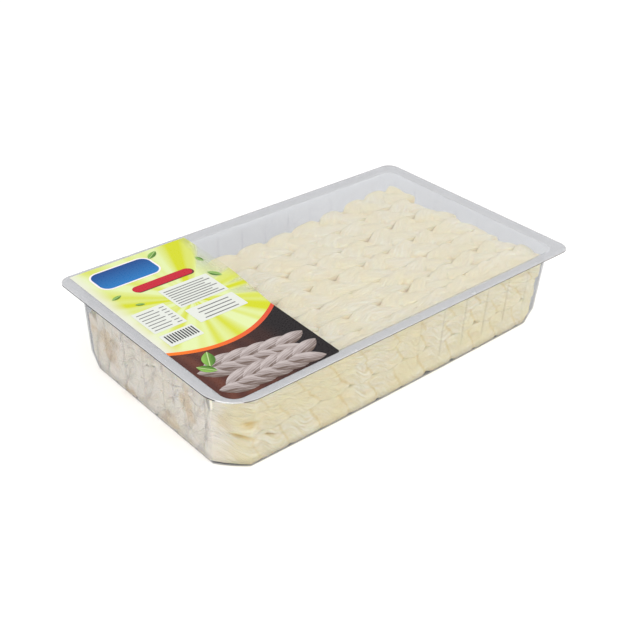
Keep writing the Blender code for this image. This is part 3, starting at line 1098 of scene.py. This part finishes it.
def ink_material(name, colour_of, alpha_of=None):
    """Smooth ink on film; the colour and the cover come from small node builders."""
    material, tree, surface = new_material(name)
    grain = placed(tree, ink_grain, Grain_size=GRAIN_SIZE).outputs["Grain"]
    speck = mapped(tree, grain, 0.3, 0.7, 0.0, SPECK_COVER)
    ink = new_node(
        tree,
        "ShaderNodeBsdfPrincipled",
        Base_Color=mix_colours(tree, speck, colour_of(tree), (0.5, 0.5, 0.5)),
        Roughness=mapped(tree, grain, 0.3, 0.7, 0.26, 0.34),
        Specular_IOR_Level=0.08,
    )
    if alpha_of is None:
        tree.links.new(ink.outputs["BSDF"], surface)
    else:
        clear = new_node(tree, "ShaderNodeBsdfTransparent")
        mix_shaders(tree, alpha_of(tree), clear, ink, surface)
    return material


def plain_ink(name, colour):
    """One ink with no pattern of its own."""
    return ink_material(name, lambda tree: colour)


def fading_ink(name, axis, start, end, first, second):
    """An ink that turns from one colour into another along an axis of the lid."""

    def fading_colour(tree):
        share = mapped(tree, axes_of(tree, object_place(tree))[axis], start, end)
        return mix_colours(tree, share, first, second)

    return ink_material(name, fading_colour)


RAY_CENTRE = (-104 * MM, 20 * MM)
RAY_COUNT = 3.4
FIELD_EDGE = (-146 * MM, -157 * MM)
FIELD_FADE = (-60 * MM, -84 * MM)


def ray_mask(tree, low, high):
    """Uneven rays that spread from the middle of the field."""
    away = vector_step(tree, "SUBTRACT", object_place(tree), (*RAY_CENTRE, INK_BASE))
    rays = noise(tree, vector_step(tree, "NORMALIZE", away), RAY_COUNT, detail=1.0)
    return mapped(tree, rays, low, high)


def field_colour(tree):
    """Lime rays on pale green, with a pale edge where the print meets the rim."""
    rays = ray_mask(tree, 0.44, 0.66)
    lime = mix_colours(tree, rays, (0.62, 0.70, 0.34), (0.53, 0.56, 0.012))
    edge = mapped(tree, axes_of(tree, object_place(tree))[0], *FIELD_EDGE)
    return mix_colours(tree, edge, lime, (0.66, 0.66, 0.58))


def field_cover(tree):
    """The field thins out to the right, first between its rays."""
    rays = ray_mask(tree, 0.46, 0.60)
    fade = mapped(tree, axes_of(tree, object_place(tree))[0], *FIELD_FADE)
    cover = arithmetic(tree, "ADD", fade, mapped(tree, rays, 0.0, 1.0, 0.12, 0.8))
    cover.node.use_clamp = True
    return cover


def band_points(drop, count=40):
    """Points across the print along the band's line, or a drop below it, from left to right."""
    points = []
    for index in range(count + 1):
        share = index / count
        right = print_right(band_line(PRINT_LEFT + share * PRINT_SPAN))
        x = PRINT_LEFT + (right - PRINT_LEFT) * share
        points.append((x, band_line(x) - drop))
    return points


RIGHT_STEPS = 24
BAND_END = -66 * MM
BAND_LAP = 0.2 * MM

field_outline = [(PRINT_LEFT + 1 * MM, PRINT_BACK)]
for index in range(RIGHT_STEPS + 1):
    y = PRINT_BACK + (band_line(BAND_END) - PRINT_BACK) * index / RIGHT_STEPS
    field_outline.append((print_right(y), y))
field_outline += reversed(band_points(0.0))
lime_ink = ink_material("lime_ink", field_colour, field_cover)
ink_piece("print_field", [plain_shape(field_outline)], 0, lime_ink)

band_outline = band_points(-BAND_LAP) + band_points(BAND_WIDTH)[::-1]
orange_ink = fading_ink("orange_ink", 0, -157 * MM, -68 * MM, (0.78, 0.16, 0.01), (0.60, 0.06, 0.03))
ink_piece("print_band", [plain_shape(band_outline)], 1, orange_ink)


def dark_colour(tree):
    """A dark wooden ground: nearly black on the right, maroon brown on the left."""
    place = object_place(tree)
    board = new_node(tree, "ShaderNodeTexWave", Vector=place, Scale=22.0, Distortion=6.0)
    brown = mix_colours(tree, board.outputs["Fac"], (0.072, 0.022, 0.016), (0.11, 0.035, 0.022))
    side = mapped(tree, axes_of(tree, place)[0], -135 * MM, -82 * MM)
    return mix_colours(tree, side, brown, (0.009, 0.006, 0.007))


CUT_CORNER = 1.5 * MM
ROUND_STEPS = 12

dark_right = print_right(PRINT_FRONT)
dark_outline = band_points(BAND_WIDTH)
dark_outline += [(dark_right, PRINT_FRONT + CUT_CORNER), (dark_right - CUT_CORNER, PRINT_FRONT)]
for index in range(ROUND_STEPS + 1):
    turn = math.pi / 2 * index / ROUND_STEPS
    x = PRINT_LEFT + PRINT_CORNER * (1 - math.sin(turn))
    dark_outline.append((x, PRINT_FRONT + PRINT_CORNER * (1 - math.cos(turn))))
ink_piece("print_dark_field", [plain_shape(dark_outline)], 0, ink_material("dark_ink", dark_colour))


def ink_axes(tree):
    """A shape's own long and cross axes, as a vector and as its parts."""
    place = mapped_place(tree, "ink")
    return place, axes_of(tree, place)


def printed_curd(tree):
    """Pale strands shaded at their sides, with fine lines along them."""
    place, (_, cross, _) = ink_axes(tree)
    lines = noise(tree, vector_step(tree, "MULTIPLY", place, (0.9, 6.0, 1.0)), 1.0, detail=5.0)
    side = arithmetic(tree, "ADD", cross, mapped(tree, lines, 0.36, 0.64, -0.9, 0.6))
    light = mapped(tree, side, -1.0, 0.8)
    return mix_colours(tree, light, (0.13, 0.09, 0.075), (0.50, 0.44, 0.43))


# Two printed plaits: where each starts and how it slopes; the lobes' sizes are in mm.
PRINTED_PLAITS = ((-140, -57, -0.16), (-139, -78, -0.03))
LOBES = 5
LOBE_PITCH = 13
LOBE_LENGTH = 27
LOBE_WIDTH = 11.5
LOBE_ASIDE = (3, 4.6)
LOBE_TURN = 20
LOBE_LIFT = 0.006 * MM

plait_lobes = []
for start_x, start_y, slope in PRINTED_PLAITS:
    for number in range(LOBES):
        along = number * LOBE_PITCH
        for side in (1, -1):
            x = start_x + along + LOBE_ASIDE[0] * side
            y = start_y + slope * along + LOBE_ASIDE[1] * side
            turn = LOBE_TURN * side + math.degrees(slope)
            plait_lobes.append(lens_shape(x, y, LOBE_LENGTH, LOBE_WIDTH, turn, point=0.8))
ink_piece("print_plaits", plait_lobes, 1, ink_material("curd_ink", printed_curd), lift=LOBE_LIFT)


def printed_leaf(tree):
    """Leaf green, darker to one side, with a pale midrib."""
    _, (_, cross, _) = ink_axes(tree)
    tone = mapped(tree, cross, -0.7, 0.8)
    green = mix_colours(tree, tone, (0.06, 0.16, 0.02), (0.22, 0.42, 0.08))
    rib = mapped(tree, arithmetic(tree, "ABSOLUTE", cross), 0.10, 0.03)
    return mix_colours(tree, rib, green, (0.50, 0.62, 0.30))


# Leaves: the middle, the length and the width in mm, and the turn in degrees.
LEAVES = (
    (-92, 88, 13, 5.5, 35),
    (-72, 38, 12, 5, -60),
    (-68, 62, 9, 3.6, 100),
    (-145, 52, 9, 3.6, 15),
    (-137, 35, 7, 3, -25),
    (-140, -47, 17, 9, 62),
    (-147, -55, 14, 7, 128),
)
leaf_ink = ink_material("leaf_ink", printed_leaf)
ink_piece("print_leaves", [lens_shape(*leaf) for leaf in LEAVES], 5, leaf_ink)

# Blocks of ink in mm: left, right, front, back and corner. A blue panel with a white edge,
# a red bar with its shade, and pale fields for the plain rules and bars.
white_ink = plain_ink("white_ink", (0.80, 0.74, 0.76))
ink_piece("print_panel_edge", [block(-147.4, -96.6, 63.6, 90.4, 8.4)], 2, white_ink)
blue_ink = fading_ink("blue_ink", 1, 64 * MM, 90 * MM, (0.012, 0.16, 0.44), (0.003, 0.045, 0.20))
ink_piece("print_panel", [block(-146, -98, 65, 89, 7)], 3, blue_ink)
red_ink = plain_ink("red_ink", (0.46, 0.010, 0.028))
ink_piece("print_bar", [block(-131, -82, 48.5, 57, 4)], 3, red_ink)
brown_ink = plain_ink("brown_ink", (0.10, 0.03, 0.03))
ink_piece("print_bar_shade", [block(-130.2, -81, 47.6, 56.2, 4)], 2, brown_ink)
PALE_FIELDS = ((-118, -77, 14, 42), (-150, -124, -2, 27), (-118, -78, -9, 10), (-150, -124, -21, -6))
pale_ink = plain_ink("pale_ink", (0.64, 0.66, 0.61))
ink_piece("print_pale_fields", [block(*field, 1) for field in PALE_FIELDS], 2, pale_ink)

# Plain rules in even rows; some rows start or end a little further in than the others.
RULE_CORNER = 0.3
rules = []
for row in range(8):
    rules.append(block(-116, -79 - 3 * (row % 3), 16.4 + row * 3, 17.4 + row * 3, RULE_CORNER))
for row in range(7):
    front, back = 0.6 + row * 3.7, 1.5 + row * 3.7
    rules.append(block(-148, -134 + 2 * (row % 2), front, back, RULE_CORNER))
    rules.append(block(-130, -126, front, back, RULE_CORNER))
for row in range(4):
    rules.append(block(-112 + 2 * (row % 2), -84, -6.6 + row * 4, -5.5 + row * 4, RULE_CORNER))
ink_piece("print_rules", rules, 3, plain_ink("grey_ink", (0.17, 0.17, 0.17)))

BARS = 11
BAR_PITCH = 2.1
BAR_LEFT = (-147.5, -146.4)
bars = []
for number in range(BARS):
    left, right = (side + BAR_PITCH * number for side in BAR_LEFT)
    bars.append(block(left, right, -18, -8, 0.2))
ink_piece("print_bars", bars, 3, plain_ink("black_ink", (0.03, 0.03, 0.035)))


# ---------------------------------------------------------------------------
# Floor, light and camera: a white sweep under broad soft lamps, seen from above the peel
# corner with a long lens, so that the pack's near corner points down and a little left.

HALF_FLOOR = 6.0
FLOOR_DROP = 0.2 * MM
SKY_STRENGTH = 0.84

floor_mesh = bpy.data.meshes.new("floor")
floor_corners = [(x * HALF_FLOOR, y * HALF_FLOOR, 0) for x, y in ((-1, -1), (1, -1), (1, 1), (-1, 1))]
floor_mesh.from_pydata(floor_corners, [], [(0, 1, 2, 3)])
floor = bpy.data.objects.new("floor", floor_mesh)
floor.location.z = -FLOOR_DROP
bpy.context.scene.collection.objects.link(floor)
floor_paint, tree, surface = new_material("floor_paint")
matt = {"Base_Color": (0.98, 0.98, 0.98), "Roughness": 0.9, "Specular_IOR_Level": 0.1}
tree.links.new(new_node(tree, "ShaderNodeBsdfPrincipled", **matt).outputs["BSDF"], surface)
floor_mesh.materials.append(floor_paint)

sky = bpy.data.worlds.new("soft_sky")
sky.use_nodes = True
backdrop = sky.node_tree.nodes["Background"]
backdrop.inputs["Color"].default_value = (1.0, 1.0, 1.0, 1.0)
backdrop.inputs["Strength"].default_value = SKY_STRENGTH
bpy.context.scene.world = sky


def soft_lamp(name, place, size, power, colour):
    """A broad square lamp that faces the pack."""
    lamp = bpy.data.lights.new(name, "AREA")
    lamp.shape = "SQUARE"
    lamp.size = size
    lamp.energy = power
    lamp.color = colour
    holder = bpy.data.objects.new(name, lamp)
    holder.location = place
    holder.rotation_euler = (-Vector(place)).to_track_quat("-Z", "Y").to_euler()
    bpy.context.scene.collection.objects.link(holder)


# Each lamp's place and width in metres, its power in watts and its colour.
soft_lamp("key_lamp", (1.0, -1.4, 1.1), 1.0, 20.5, (1.0, 0.99, 0.97))
soft_lamp("top_lamp", (-0.3, 0.5, 1.9), 1.4, 5, (1.0, 1.0, 1.0))
soft_lamp("side_lamp", (-1.6, -0.5, 0.8), 1.0, 13.5, (1.0, 0.99, 1.0))

# The camera stands at a place measured in half rim lengths from the middle of the lid.
LENS = 60.77
SENSOR = 36.0
YAW = math.radians(-42.324)
PITCH = math.radians(32.128)
ROLL = math.radians(2.057)
STANDPOINT = Vector((-2.8055, -3.0298, 2.3215))

camera_data = bpy.data.cameras.new("camera")
camera_data.lens = LENS
camera_data.sensor_width = SENSOR
camera = bpy.data.objects.new("camera", camera_data)
bpy.context.scene.collection.objects.link(camera)
place = STANDPOINT * (RIM_LENGTH / 2) + Vector((0, 0, RIM_TOP))
camera.matrix_world = (
    Matrix.Translation(place)
    @ Matrix.Rotation(YAW, 4, "Z")
    @ Matrix.Rotation(math.pi / 2 - PITCH, 4, "X")
    @ Matrix.Rotation(ROLL, 4, "Z")
)
bpy.context.scene.camera = camera
bpy.context.scene.view_settings.view_transform = "Standard"
